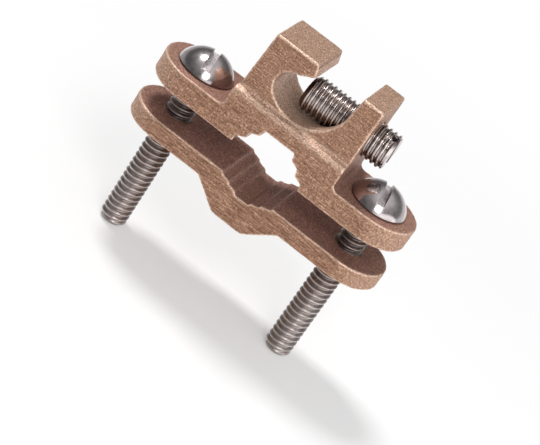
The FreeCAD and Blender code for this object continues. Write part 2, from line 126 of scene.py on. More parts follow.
@dataclass(frozen=True)
class CastBronze:
    """Silicon bronze, sand cast, with its front and back faces sawn.

    The sand leaves a grainy, dull surface, and the saw leaves short streaks
    along the two flat faces. Sheltered places keep a brown casting skin, with
    painted shade where the jaws block the view and in hollow corners. Tumbling
    has worn the edges bright, and painted highlights lighten faces that face
    front and up, the ends, the wires' cup and the tops of the highest grains.
    The grain is drawn about twice as coarse as on the real casting, so that it
    shows at the photograph's size.
    """

    name: str = "silicon_bronze_sand_cast_and_sawn"
    grain_light: str = "#D1A386"
    grain_dark: str = "#72503D"
    skin_light: str = "#CB9B8A"
    skin_dark: str = "#68453B"
    # Bright metal for the wear and for the painted highlights and glints.
    worn_and_highlight: str = "#FFDFC7"
    metallic: float = 0.5
    roughness: float = 0.55
    worn_polish: float = 0.2
    grain_mm: float = 0.27
    grain_range: tuple[float, float] = (0.38, 0.62)
    cast_contrast: float = 0.8
    full_contrast_sawn: float = 0.3
    streak_length_mm: float = 2.0
    streak_width_mm: float = 0.13
    saw_depth: float = 0.08
    relief_mm: float = 0.07
    relief_strength: float = 0.8
    mottle_mm: float = 2.4
    mottle_range: tuple[float, float] = (0.3, 0.7)
    patch_shares: tuple[float, float] = (0.6, 1.3)
    edge_range: tuple[float, float] = (0.35, 0.6)
    least_edge: float = 0.15
    # Grain heights whose tops get the painted glints, partly wear.
    peak_range: tuple[float, float] = (0.54, 0.68)
    peak_wear_and_glint: float = 0.85
    skin_cover: float = 1.1

    def make(self) -> bpy.types.Material:
        """Build the material.

        Returns:
            The finished material.
        """
        material = new_material(self.name)
        tree = material.node_tree
        place = add_node(tree, "ShaderNodeTexCoord").outputs["Object"]
        grains = self.grains(tree, place)
        light_share = add_node(tree, "ShaderNodeMapRange", {
            "Value": grains, "From Min": self.grain_range[0], "From Max": self.grain_range[1]})
        metal, skin = (
            add_node(tree, "ShaderNodeMix", {
                MIX_SHARE: light_share.outputs["Result"], FIRST_COLOUR: linear_colour(dark),
                SECOND_COLOUR: linear_colour(light)}, data_type="RGBA").outputs[MIXED_COLOUR]
            for dark, light in ((self.grain_dark, self.grain_light),
                                (self.skin_dark, self.skin_light)))
        skin_share = self.skin_share(tree, place)
        coat = add_node(tree, "ShaderNodeMix", {
            MIX_SHARE: skin_share, FIRST_COLOUR: metal, SECOND_COLOUR: skin}, data_type="RGBA")
        worn_and_highlight_share = self.worn_and_highlight_share(tree, grains, skin_share)
        colour = add_node(tree, "ShaderNodeMix", {
            MIX_SHARE: worn_and_highlight_share, FIRST_COLOUR: coat.outputs[MIXED_COLOUR],
            SECOND_COLOUR: linear_colour(self.worn_and_highlight)}, data_type="RGBA")
        rough = add_node(tree, "ShaderNodeMapRange", {
            "Value": worn_and_highlight_share, "To Min": self.roughness,
            "To Max": self.roughness - self.worn_polish})
        bump = add_node(tree, "ShaderNodeBump", {
            "Height": grains, "Strength": self.relief_strength, "Distance": self.relief_mm * MM})
        shader = add_node(tree, "ShaderNodeBsdfPrincipled", {
            "Base Color": colour.outputs[MIXED_COLOUR], "Metallic": self.metallic,
            "Roughness": rough.outputs["Result"], "Normal": bump.outputs["Normal"]})
        add_node(tree, "ShaderNodeOutputMaterial", {"Surface": shader.outputs["BSDF"]})
        return material

    def grains(self, tree: bpy.types.NodeTree, place: bpy.types.NodeSocket) -> bpy.types.NodeSocket:
        """Lay sand grain everywhere and saw streaks over the faces that were sawn.

        The sand has a lower contrast where nothing was sawn, about its middle height.

        Args:
            tree: The material's node tree.
            place: Object coordinates.

        Returns:
            Height of the grain, about a half on average.
        """
        sand = add_node(tree, "ShaderNodeTexNoise", {
            "Vector": place, "Scale": per_metre(self.grain_mm), "Detail": 3.0, "Roughness": 0.8})
        width = per_metre(self.streak_width_mm)
        drawn_out = add_node(tree, "ShaderNodeMapping", {
            "Vector": place, "Scale": (per_metre(self.streak_length_mm), width, width)})
        streaks = add_node(tree, "ShaderNodeTexNoise", {
            "Vector": drawn_out.outputs["Vector"], "Scale": 1.0, "Detail": 2.0, "Roughness": 0.75})
        sawn = add_node(tree, "ShaderNodeAttribute", attribute_name="sawn").outputs["Fac"]
        contrast = add_node(tree, "ShaderNodeMapRange", {
            "Value": sawn, "From Max": self.full_contrast_sawn,
            "To Min": self.cast_contrast, "To Max": 1.0}).outputs["Result"]
        middle = add_node(tree, "ShaderNodeMath", {
            0: contrast, 1: -0.5, 2: 0.5}, operation="MULTIPLY_ADD")
        soft = add_node(tree, "ShaderNodeMath", {
            0: sand.outputs["Fac"], 1: contrast, 2: middle.outputs["Value"]},
            operation="MULTIPLY_ADD")
        both = add_node(tree, "ShaderNodeMix", {
            MIX_SHARE: sawn, FIRST_NUMBER: soft.outputs["Value"],
            SECOND_NUMBER: streaks.outputs["Fac"]})
        dug = add_node(tree, "ShaderNodeMath", {
            0: sawn, 1: -self.saw_depth, 2: both.outputs[MIXED_NUMBER]}, operation="MULTIPLY_ADD")
        return dug.outputs["Value"]

    def skin_share(self, tree: bpy.types.NodeTree,
                   place: bpy.types.NodeSocket) -> bpy.types.NodeSocket:
        """Spread the brown skin and painted shade over sheltered places in uneven patches.

        Args:
            tree: The material's node tree.
            place: Object coordinates.

        Returns:
            Share of the skin, from nothing to one.
        """
        shade_and_skin = add_node(tree, "ShaderNodeAttribute", attribute_name="shade_and_skin").outputs["Fac"]
        mottle = add_node(tree, "ShaderNodeTexNoise", {
            "Vector": place, "Scale": per_metre(self.mottle_mm), "Detail": 4.0, "Roughness": 0.6})
        patches = add_node(tree, "ShaderNodeMapRange", {
            "Value": mottle.outputs["Fac"],
            "From Min": self.mottle_range[0], "From Max": self.mottle_range[1],
            "To Min": self.patch_shares[0], "To Max": self.patch_shares[1]})
        share = add_node(tree, "ShaderNodeMath", {
            0: shade_and_skin, 1: patches.outputs["Result"]}, operation="MULTIPLY", use_clamp=True)
        return share.outputs["Value"]

    def worn_and_highlight_share(self, tree: bpy.types.NodeTree, grains: bpy.types.NodeSocket,
                   skin_share: bpy.types.NodeSocket) -> bpy.types.NodeSocket:
        """Bare the edges unevenly and lighten the tops of the highest grains outside the skin, as
        wear with painted highlights and glints.

        Args:
            tree: The material's node tree.
            grains: Height of the grain.
            skin_share: Share of the brown skin.

        Returns:
            Share of bright bare metal and painted highlight, from nothing to one.
        """
        wear_and_highlight = add_node(tree, "ShaderNodeAttribute", attribute_name="wear_and_painted_highlight").outputs["Fac"]
        uneven = add_node(tree, "ShaderNodeMapRange", {
            "Value": grains, "From Min": self.edge_range[0], "From Max": self.edge_range[1],
            "To Min": self.least_edge, "To Max": 1.0})
        edges = add_node(tree, "ShaderNodeMath", {
            0: wear_and_highlight, 1: uneven.outputs["Result"]}, operation="MULTIPLY")
        # Painted glints on the tops of the highest grains, partly wear.
        peak_glints = add_node(tree, "ShaderNodeMapRange", {
            "Value": grains, "From Min": self.peak_range[0], "From Max": self.peak_range[1],
            "To Max": self.peak_wear_and_glint})
        no_skin = add_node(tree, "ShaderNodeMath", {
            0: self.skin_cover, 1: skin_share}, operation="SUBTRACT", use_clamp=True)
        share = add_node(tree, "ShaderNodeMath", {
            0: peak_glints.outputs["Result"], 1: no_skin.outputs["Value"], 2: edges.outputs["Value"]},
            operation="MULTIPLY_ADD", use_clamp=True)
        return share.outputs["Value"]


@dataclass(frozen=True)
class Steel:
    """Stainless steel in one of the finishes that a screw shows.

    Fine tool marks break up its reflections a little. A thread's roots are
    painted duller than its crests, as painted shade, and painted shade darkens
    it where the jaws shut it in, less on the crests, which keep a painted glint.
    """

    name: str
    light: str
    dark: str
    # Colour of the painted shade in a thread's roots.
    root: str
    shade_colour: str
    metallic: float
    roughness: float
    mark_mm: float
    mark_depth_mm: float
    colour_range: tuple[float, float] = (0.35, 0.65)
    rough_range: tuple[float, float] = (0.3, 0.7)
    rough_shares: tuple[float, float] = (0.8, 1.25)
    mark_strength: float = 0.4
    # Painted shade in the roots, and the painted glint that it spares on the crests.
    root_shade: float = 1.3
    crest_glint: float = 0.8

    def make(self) -> bpy.types.Material:
        """Build the material.

        Returns:
            The finished material.
        """
        material = new_material(self.name)
        tree = material.node_tree
        place = add_node(tree, "ShaderNodeTexCoord").outputs["Object"]
        thread_light = add_node(tree, "ShaderNodeAttribute", attribute_name="thread_light").outputs["Fac"]
        marks = add_node(tree, "ShaderNodeTexNoise", {
            "Vector": place, "Scale": per_metre(self.mark_mm), "Detail": 3.0, "Roughness": 0.6})
        share = add_node(tree, "ShaderNodeMapRange", {
            "Value": marks.outputs["Fac"],
            "From Min": self.colour_range[0], "From Max": self.colour_range[1]})
        metal = add_node(tree, "ShaderNodeMix", {
            MIX_SHARE: share.outputs["Result"], FIRST_COLOUR: linear_colour(self.dark),
            SECOND_COLOUR: linear_colour(self.light)}, data_type="RGBA")
        # Painted shade: the roots take the darker root colour.
        clean = add_node(tree, "ShaderNodeMix", {
            MIX_SHARE: thread_light, FIRST_COLOUR: linear_colour(self.root),
            SECOND_COLOUR: metal.outputs[MIXED_COLOUR]}, data_type="RGBA")
        # Painted shade: darker where the jaws block the view, less on the crests, which keep a
        # painted glint.
        shade_and_skin = add_node(tree, "ShaderNodeAttribute", attribute_name="shade_and_skin").outputs["Fac"]
        root_shade_share = add_node(tree, "ShaderNodeMath", {
            0: thread_light, 1: -self.crest_glint, 2: self.root_shade},
            operation="MULTIPLY_ADD", use_clamp=True)
        kept = add_node(tree, "ShaderNodeMath", {
            0: shade_and_skin, 1: root_shade_share.outputs["Value"]}, operation="MULTIPLY")
        colour = add_node(tree, "ShaderNodeMix", {
            MIX_SHARE: kept.outputs["Value"], FIRST_COLOUR: clean.outputs[MIXED_COLOUR],
            SECOND_COLOUR: linear_colour(self.shade_colour)}, data_type="RGBA")
        rough = add_node(tree, "ShaderNodeMapRange", {
            "Value": marks.outputs["Fac"],
            "From Min": self.rough_range[0], "From Max": self.rough_range[1],
            "To Min": self.roughness * self.rough_shares[0],
            "To Max": self.roughness * self.rough_shares[1]})
        bump = add_node(tree, "ShaderNodeBump", {
            "Height": marks.outputs["Fac"], "Strength": self.mark_strength,
            "Distance": self.mark_depth_mm * MM})
        shader = add_node(tree, "ShaderNodeBsdfPrincipled", {
            "Base Color": colour.outputs[MIXED_COLOUR], "Metallic": self.metallic,
            "Roughness": rough.outputs["Result"], "Normal": bump.outputs["Normal"]})
        add_node(tree, "ShaderNodeOutputMaterial", {"Surface": shader.outputs["BSDF"]})
        return material


# Tumbled and polished head: a mirror with a faint waviness.
POLISHED = Steel(
    "stainless_steel_polished", light="#E6DDDE", dark="#D3C9CB", root="#D3C9CB",
    shade_colour="#6A5B54", metallic=1.0, roughness=0.17, mark_mm=1.2, mark_depth_mm=0.012)
# Thread rolled between dies: satin flanks, painted shade in the roots and between the jaws, thin
# bright crests.
ROLLED = Steel(
    "stainless_steel_rolled_thread", light="#D2C8C5", dark="#BCB1AD", root="#857873",
    shade_colour="#1A120F", metallic=1.0, roughness=0.34, mark_mm=0.6, mark_depth_mm=0.008)
# Thread cut on a lathe: brighter and sharper, with glints along its crests, partly painted
# highlight, and painted shade where the jaws shut it in.
CUT = Steel(
    "stainless_steel_cut_thread", light="#D9CFCC", dark="#C4B8B4", root="#7A6C65",
    shade_colour="#4C3F38", metallic=1.0, roughness=0.24, mark_mm=0.5, mark_depth_mm=0.004)
# Floor of a sawn slot: a matt, pale, scratched surface that scatters the light.
SAWN = Steel(
    "stainless_steel_sawn", light="#FBF3F4", dark="#A99EA1", root="#C2B7B9",
    shade_colour="#C2B7B9", metallic=0.2, roughness=0.5, mark_mm=0.3, mark_depth_mm=0.03)
# Walls of a sawn slot, which see little but each other: duller and darker.
SHADED = Steel(
    "stainless_steel_sawn_and_shaded", light="#8F8486", dark="#766C6E", root="#766C6E",
    shade_colour="#766C6E", metallic=1.0, roughness=0.35, mark_mm=0.3, mark_depth_mm=0.02)


class ScrewFinish(Enum):
    """Material slots of a screw's mesh, in their order."""

    HEAD = 0
    THREAD = 1
    SLOT_FLOOR = 2
    SLOT_WALL = 3


def paint_faces(faces: Iterable[bmesh.types.BMFace], finish: ScrewFinish) -> None:
    """Give faces the material slot of a finish."""
    for face in faces:
        face.material_index = finish.value


def shade_by_angle(bm: bmesh.types.BMesh, degrees: float) -> None:
    """Shade smoothly, except over edges that turn by more than an angle.

    Args:
        bm: Mesh to shade.
        degrees: Largest turn that still looks round.
    """
    limit = math.radians(degrees)
    for face in bm.faces:
        face.smooth = True
    for edge in bm.edges:
        edge.smooth = len(edge.link_faces) == 2 and edge.calc_face_angle(math.pi) < limit


def finished_object(name: str, bm: bmesh.types.BMesh,
                    materials: list[bpy.types.Material]) -> bpy.types.Object:
    """Turn a bmesh into an object at the origin and free the bmesh.

    Args:
        name: Name of the piece.
        bm: Its mesh, in place.
        materials: Its material slots, in order.

    Returns:
        The linked object.
    """
    mesh = bpy.data.meshes.new(name)
    bm.to_mesh(mesh)
    bm.free()
    for material in materials:
        mesh.materials.append(material)
    piece = bpy.data.objects.new(name, mesh)
    bpy.context.scene.collection.objects.link(piece)
    return piece


def near(first: float, second: float) -> bool:
    """Tell whether two lengths agree to a few micrometres."""
    return abs(first - second) < SAME_LEVEL


def lies_at(edge: bmesh.types.BMEdge, axis: int, level: float) -> bool:
    """Tell whether both ends of an edge lie at one level of an axis."""
    return all(near(vert.co[axis], level) for vert in edge.verts)


def spin_outline(points: list[tuple[float, float]], closed: bool,
                 steps: int, lift: float) -> bmesh.types.BMesh:
    """Spin an outline of radii and heights once round Z.

    Spin leaves the order of its faces to chance, and later cuts would follow
    it, so the faces are copied in the order of their points.

    Args:
        points: Radius and height of the outline's corners.
        closed: Whether the outline is a ring of its own.
        steps: Number of steps in the turn.
        lift: Rise of each step. Without one, the end is merged to the start.

    Returns:
        The spun surface.
    """
    spun = bmesh.new()
    corners = [spun.verts.new((radius, 0.0, height)) for radius, height in points]
    pairs = list(zip(corners, corners[1:]))
    if closed:
        pairs.append((corners[-1], corners[0]))
    edges = [spun.edges.new(pair) for pair in pairs]
    bmesh.ops.spin(spun, geom=corners + edges, cent=(0, 0, 0), axis=(0, 0, 1), dvec=(0, 0, lift),
                   angle=2 * math.pi, steps=steps, use_merge=lift == 0.0, use_duplicate=False)
    spun.verts.index_update()
    rings = []
    for face in spun.faces:
        numbers = [vert.index for vert in face.verts]
        first = numbers.index(min(numbers))
        rings.append(numbers[first:] + numbers[:first])
    bm = bmesh.new()
    verts = [bm.verts.new(vert.co) for vert in spun.verts]
    for numbers in sorted(rings):
        bm.faces.new([verts[number] for number in numbers])
    spun.free()
    return bm


@dataclass(frozen=True)
class DriverSlot:
    """Slot for a flat screwdriver, sawn along Y through a screw that stands along Z."""

    width: float
    depth: float
    blunting: float = 0.09 * MM

    def cut(self, bm: bmesh.types.BMesh, top: float) -> None:
        """Saw the slot and close its two walls and its floor.

        Args:
            bm: Closed turned mesh.
            top: Level of its top.
        """
        half = self.width / 2
        floor = top - self.depth
        across, up = (1, 0, 0), (0, 0, 1)
        for point, normal in (((half, 0, 0), across), ((-half, 0, 0), across), ((0, 0, floor), up)):
            bmesh.ops.bisect_plane(bm, geom=bm.verts[:] + bm.edges[:] + bm.faces[:],
                                   dist=MERGE_DISTANCE, plane_co=point, plane_no=normal)
        taken = []
        for face in bm.faces:
            centre = face.calc_center_median()
            if abs(centre.x) < half and centre.z > floor:
                taken.append(face)
        bmesh.ops.delete(bm, geom=taken, context="FACES")

        floor_edges = []
        for side in (half, -half):
            rim = [edge for edge in bm.edges if edge.is_boundary and lies_at(edge, 0, side)]
            ends = [vert for edge in rim for vert in edge.verts if near(vert.co.z, floor)]
            floor_edge = bm.edges.new(sorted(dict.fromkeys(ends), key=lambda vert: vert.co.y))
            floor_edges.append(floor_edge)
            wall = bmesh.ops.edgeloop_fill(bm, edges=rim + [floor_edge])
            paint_faces(wall["faces"], ScrewFinish.SLOT_WALL)
        mouth = [edge for edge in bm.edges if edge.is_boundary and lies_at(edge, 2, floor)]
        floor_face = bmesh.ops.edgeloop_fill(bm, edges=list(dict.fromkeys(mouth + floor_edges)))
        paint_faces(floor_face["faces"], ScrewFinish.SLOT_FLOOR)
        self.blunt(bm)

    def blunt(self, bm: bmesh.types.BMesh) -> None:
        """Take the sharpness off the slot's upper edges, which then catch the light.

        Args:
            bm: Slotted mesh.
        """
        wall = ScrewFinish.SLOT_WALL.value
        floor = ScrewFinish.SLOT_FLOOR.value
        edges = []
        for edge in bm.edges:
            finishes = {face.material_index for face in edge.link_faces}
            if wall in finishes and len(finishes) == 2 and floor not in finishes:
                edges.append(edge)
        burr = bmesh.ops.bevel(bm, geom=edges, offset=self.blunting, affect="EDGES", segments=2,
                               profile=0.5, material=-1, clamp_overlap=True)
        paint_faces(burr["faces"], ScrewFinish.SLOT_FLOOR)


@dataclass
class Surroundings:
    """Solids that shut a place in, seen along a fan of rays about its normal."""

    nodes: tuple[str, ...]
    reach: float = 30 * MM
    clear: float = 0.3 * MM
    rays: int = 20
    golden_turn: float = 2.399963
    # Gain from the blocked view to the painted shade on the screws.
    shade_gain: float = 1.5
    tree: BVHTree = field(init=False)
    fan: list[tuple[float, float, float]] = field(init=False)

    def __post_init__(self) -> None:
        """Gather the solids and spread the rays evenly, more of them near the normal."""
        corners: list[Vector] = []
        triangles: list[tuple[int, ...]] = []
        for node in self.nodes:
            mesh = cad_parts[node].data
            first = len(corners)
            corners.extend(vert.co.copy() for vert in mesh.vertices)
            triangles.extend(
                tuple(first + index for index in face.vertices) for face in mesh.polygons)
        self.tree = BVHTree.FromPolygons(corners, triangles)
        self.fan = []
        for ray in range(self.rays):
            spread = math.sqrt((ray + 0.5) / self.rays)
            angle = ray * self.golden_turn
            self.fan.append(
                (spread * math.cos(angle), spread * math.sin(angle), math.sqrt(1 - spread ** 2)))

    def blocked(self, point: Vector, normal: Vector) -> float:
        """Measure how much of the view from a place the solids block.

        Args:
            point: Place on a piece.
            normal: Direction that it faces.

        Returns:
            Share of the blocked view, from nothing to one.
        """
        across = normal.orthogonal().normalized()
        along = normal.cross(across)
        start = point + normal * self.clear
        hits = 0
        for first, second, third in self.fan:
            ray = across * first + along * second + normal * third
            if self.tree.ray_cast(start, ray, self.reach)[0] is not None:
                hits += 1
        return hits / self.rays

    def mark_painted_shade(self, bm: bmesh.types.BMesh) -> None:
        """Store how much painted shade each point of a screw gets, from nothing to one, by how much
        the jaws block its view.

        Args:
            bm: Screw in its place.
        """
        bm.normal_update()
        layer = bm.verts.layers.float.new("shade_and_skin")
        for vert in bm.verts:
            vert[layer] = min(1.0, self.shade_gain * self.blocked(vert.co, vert.normal))


@dataclass(frozen=True)
class ThreadForm:
    """Sixty-degree screw thread, right hand, with a little rounding at its crests.

    Its shares are parts of a pitch. The crest is flat between two shoulders,
    and the root dips a little in its middle.
    """

    crest_radius: float
    pitch: float
    steps_per_turn: int = 48
    crest_share: float = 0.21
    root_share: float = 0.27
    depth_share: float = 0.43
    shoulder_drop: float = 0.04
    shoulder_run: float = 0.02
    root_dip: float = 0.05
    # Painted light on the thread: the roots' brightness, how fast it rises to the crest, and a
    # painted highlight on flanks that face up.
    root_light: float = 0.35
    shine_power: int = 3
    upper_flank_light: float = 0.6
    play: float = 0.03 * MM

    @property
    def root_radius(self) -> float:
        """Radius at the bottom of the thread."""
        return self.crest_radius - self.depth_share * self.pitch

    def outline(self) -> list[tuple[float, float]]:
        """Give radius and height of one pitch, from the middle of a root up.

        Returns:
            Pairs of lengths, the last one a pitch above the first.
        """
        deepest = self.root_radius - self.root_dip * self.pitch
        shoulder = self.crest_radius - self.shoulder_drop * self.pitch
        half_root = self.root_share / 2
        half_crest = self.crest_share / 2
        shares = [
            (deepest, 0.0),
            (self.root_radius, half_root),
            (shoulder, 0.5 - half_crest - self.shoulder_run),
            (self.crest_radius, 0.5 - half_crest / 2),
            (self.crest_radius, 0.5 + half_crest / 2),
            (shoulder, 0.5 + half_crest + self.shoulder_run),
            (self.root_radius, 1.0 - half_root),
            (deepest, 1.0),
        ]
        return [(radius, share * self.pitch) for radius, share in shares]

    def ridge(self, hole_radius: float) -> list[tuple[float, float]]:
        """Give radius and height of a tapped hole's ridge, which fills the screw's root.

        Args:
            hole_radius: Radius of the hole that the ridge stands in.

        Returns:
            Pairs of lengths round the ridge, whose foot is sunk in the hole's wall.
        """
        half_root = self.root_share / 2 * self.pitch
        flank_run = 0.5 - self.shoulder_run - self.crest_share / 2 - self.root_share / 2
        rise = flank_run / (self.depth_share - self.shoulder_drop)
        tip = self.root_radius + self.play
        foot = hole_radius + 2 * self.play
        half_tip = half_root + rise * (tip - self.root_radius) - self.play
        half_foot = half_root + rise * (foot - self.root_radius) - self.play
        return [(tip, -half_tip), (foot, -half_foot), (foot, half_foot), (tip, half_tip)]

    def sweep(self, points: list[tuple[float, float]], closed: bool,
              bottom: float, top: float) -> bmesh.types.BMesh:
        """Sweep an outline up the helix, trim it between two levels and close its ends.

        Args:
            points: Radius and height of the outline's corners.
            closed: Whether the outline is a ring of its own, as a ridge's is.
            bottom: Level of the foot.
            top: Level of the head.

        Returns:
            The closed mesh.
        """
        start = math.floor(bottom / self.pitch) - 1
        turns = math.ceil(top / self.pitch) + 1 - start
        lowest = [(radius, height + start * self.pitch) for radius, height in points]
        bm = spin_outline(lowest, closed, self.steps_per_turn, self.pitch / self.steps_per_turn)
        one_turn = bm.verts[:] + bm.edges[:] + bm.faces[:]
        for turn_number in range(1, turns):
            copy = bmesh.ops.duplicate(bm, geom=one_turn)
            copied = [item for item in copy["geom"] if isinstance(item, bmesh.types.BMVert)]
            bmesh.ops.translate(bm, verts=copied, vec=(0, 0, turn_number * self.pitch))
        bmesh.ops.remove_doubles(bm, verts=bm.verts, dist=MERGE_DISTANCE)
        for level, outwards in ((bottom, -1.0), (top, 1.0)):
            bmesh.ops.bisect_plane(bm, geom=bm.verts[:] + bm.edges[:] + bm.faces[:],
                                   dist=CUT_DISTANCE, plane_co=(0, 0, level),
                                   plane_no=(0, 0, outwards), clear_outer=True)
            rim = [edge for edge in bm.edges if edge.is_boundary and lies_at(edge, 2, level)]
            bmesh.ops.edgeloop_fill(bm, edges=rim)
        bmesh.ops.recalc_face_normals(bm, faces=bm.faces)
        return bm

    def rod(self, bottom: float, top: float) -> bmesh.types.BMesh:
        """Make a threaded rod between two levels, painted as thread.

        Args:
            bottom: Level of its foot.
            top: Level of its head.

        Returns:
            The closed rod along Z.
        """
        bm = self.sweep(self.outline(), False, bottom, top)
        paint_faces(bm.faces, ScrewFinish.THREAD)
        return bm

    def chamfer(self, bm: bmesh.types.BMesh, level: float, inwards: float, size: float) -> None:
        """Turn a chamfer on a rod's end by drawing in what stands proud of it.

        Args:
            bm: Rod along Z.
            level: Level of the end.
            inwards: One if the rod lies above the end and minus one if below.
            size: Length and depth of the chamfer.
        """
        for vert in bm.verts:
            height = (vert.co.z - level) * inwards
            if height < size:
                allowed = self.crest_radius - size + max(height, 0.0)
                reach = vert.co.xy.length
                if reach > allowed:
                    vert.co.x *= allowed / reach
                    vert.co.y *= allowed / reach

    def mark_thread_light(self, bm: bmesh.types.BMesh) -> None:
        """Store each point's painted light and shade, from painted shade in the roots to one at a
        crest, with painted highlight on flanks that face up.

        Args:
            bm: Screw along Z, whose head and slot count as crest throughout.
        """
        bm.normal_update()
        layer = bm.verts.layers.float.new("thread_light")
        depth = self.crest_radius - self.root_radius
        for vert in bm.verts:
            threaded = all(
                face.material_index == ScrewFinish.THREAD.value for face in vert.link_faces)
            height = max(0.0, (vert.co.xy.length - self.root_radius) / depth)
            # Painted shade in the roots and on flanks that face down, painted highlight on flanks
            # that face up.
            painted_light = self.root_light + (1 - self.root_light) * height ** self.shine_power
            painted_light += self.upper_flank_light * vert.normal.z * (1 - height)
            vert[layer] = min(1.0, max(0.0, painted_light)) if threaded else 1.0


@dataclass
class ClampScrew:
    """Slotted round-head machine screw that pulls the jaws together."""

    node: str
    slot_turn: float
    pitch: float = 25.4 / 24 * MM
    crest_radius: float = 4.83 / 2 * MM
    ear: float = 3.9 * MM
    head_height: float = 3.5 * MM
    head_rim: float = 0.3 * MM
    slot: DriverSlot = DriverSlot(width=1.3 * MM, depth=1.9 * MM)
    point: float = 0.6 * MM
    shank_in_head: float = 0.3 * MM
    mouth: float = 0.15 * MM
    tapped_depth: float = 2.9 * MM
    # Painted shade on the thread inside the tapped hole.
    tapped_shade: float = 0.8
    ring_steps: int = 96
    dome_steps: int = 20
    thread_smoothing: float = 38
    head_smoothing: float = 30

    @property
    def seat(self) -> float:
        """Level of the upper ear's top, where the head rests."""
        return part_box("upper_jaw")[0].z + self.ear

    @property
    def thread(self) -> ThreadForm:
        """Thread of the screw and of its tapped hole."""
        return ThreadForm(self.crest_radius, self.pitch)

    def place(self) -> Matrix:
        """Move and turn a screw whose seat is at the origin to its own place.

        Returns:
            The transform.
        """
        low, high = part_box(self.node)
        turn = Matrix.Rotation(math.radians(self.slot_turn), 4, "Z")
        return Matrix.Translation(((low.x + high.x) / 2, 0.0, self.seat)) @ turn

    def build(self, finishes: list[bpy.types.Material], jaws: Surroundings) -> bpy.types.Object:
        """Make the screw in place of its node.

        Args:
            finishes: Materials of the screw's slots.
            jaws: Solids that shelter parts of the screw.

        Returns:
            The screw's object.
        """
        low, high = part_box(self.node)
        foot = low.z - self.seat
        bm = self.thread.rod(foot, self.shank_in_head)
        self.thread.chamfer(bm, foot, 1.0, self.point)
        shade_by_angle(bm, self.thread_smoothing)
        self.add_head(bm, (high.x - low.x) / 2)
        self.thread.mark_thread_light(bm)
        bmesh.ops.transform(bm, matrix=self.place(), verts=bm.verts)
        jaws.mark_painted_shade(bm)
        return finished_object(self.node + "_threaded", bm, finishes)

    def add_head(self, bm: bmesh.types.BMesh, radius: float) -> None:
        """Put the slotted head on the shank.

        Args:
            bm: Shank, whose head end is at level zero.
            radius: Radius of the head.
        """
        head = self.turned_head(radius)
        self.slot.cut(head, self.head_height)
        shade_by_angle(head, self.head_smoothing)
        spare = bpy.data.meshes.new("head")
        head.to_mesh(spare)
        head.free()
        bm.from_mesh(spare)
        bpy.data.meshes.remove(spare)

    def turned_head(self, radius: float) -> bmesh.types.BMesh:
        """Turn the domed head, with its bearing face at level zero.

        Args:
            radius: Radius of the head.

        Returns:
            The closed head.
        """
        rise = self.head_height - self.head_rim
        dome_radius = (radius ** 2 + rise ** 2) / (2 * rise)
        centre = self.head_height - dome_radius
        rim_angle = math.asin((self.head_rim - centre) / dome_radius)
        points = [(0.0, 0.0), (radius - self.head_rim, 0.0)]
        for step in range(self.dome_steps + 1):
            angle = rim_angle + (math.pi / 2 - rim_angle) * step / self.dome_steps
            points.append((dome_radius * math.cos(angle), centre + dome_radius * math.sin(angle)))
        bm = spin_outline(points, False, self.ring_steps, 0.0)
        bmesh.ops.remove_doubles(bm, verts=bm.verts, dist=MERGE_DISTANCE)
        bmesh.ops.recalc_face_normals(bm, faces=bm.faces)
        paint_faces(bm.faces, ScrewFinish.HEAD)
        return bm

    def tapped_thread(self, bronze: bpy.types.Material) -> bpy.types.Object:
        """Make the thread inside the lower jaw's hole, in step with the screw's own.

        Args:
            bronze: Material of the casting.

        Returns:
            The thread's object.
        """
        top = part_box("lower_jaw")[1].z - self.seat - self.mouth
        ridge = self.thread.ridge(self.crest_radius + self.thread.play)
        bm = self.thread.sweep(ridge, True, top - self.tapped_depth, top)
        shade_by_angle(bm, self.head_smoothing)
        # Painted shade: the thread inside the hole is darkened evenly.
        shade_and_skin = bm.verts.layers.float.new("shade_and_skin")
        for vert in bm.verts:
            vert[shade_and_skin] = self.tapped_shade
        bmesh.ops.transform(bm, matrix=self.place(), verts=bm.verts)
        return finished_object(self.node.replace("clamp_screw", "tapped_thread"), bm, [bronze])


@dataclass
class SetScrew:
    """Slotted headless set screw that presses the wire into its cup."""

    node: str = "set_screw"
    slot_turn: float = 110.0
    pitch: float = 25.4 / 28 * MM
    crest_share: float = 0.27
    root_share: float = 0.3
    depth_share: float = 0.36
    root_dip: float = 0.02
    # Painted highlight along the set screw's flat roots.
    root_light: float = 0.65
    slot: DriverSlot = DriverSlot(width=1.15 * MM, depth=1.5 * MM)
    point: float = 0.8 * MM
    edge: float = 0.4 * MM
    smoothing: float = 38

    def build(self, finishes: list[bpy.types.Material], jaws: Surroundings) -> bpy.types.Object:
        """Make the set screw in place of its node, from a rod that stands along Z.

        Args:
            finishes: Materials of the screw's slots.
            jaws: Solids that shelter parts of the screw.

        Returns:
            The set screw's object.
        """
        low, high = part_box(self.node)
        length = high.x - low.x
        thread = ThreadForm(
            (high.z - low.z) / 2, self.pitch, crest_share=self.crest_share,
            root_share=self.root_share, depth_share=self.depth_share,
            root_dip=self.root_dip, root_light=self.root_light)
        bm = thread.rod(0.0, length)
        thread.chamfer(bm, 0.0, 1.0, self.point)
        thread.chamfer(bm, length, -1.0, self.edge)
        self.slot.cut(bm, length)
        shade_by_angle(bm, self.smoothing)
        thread.mark_thread_light(bm)
        turn = Matrix.Rotation(math.radians(self.slot_turn), 4, "Z")
        laid = Matrix.Rotation(math.pi / 2, 4, "Y") @ turn
        place = Matrix.Translation((low.x, 0.0, (low.z + high.z) / 2)) @ laid
        bmesh.ops.transform(bm, matrix=place, verts=bm.verts)
        jaws.mark_painted_shade(bm)
        return finished_object(self.node + "_threaded", bm, finishes)


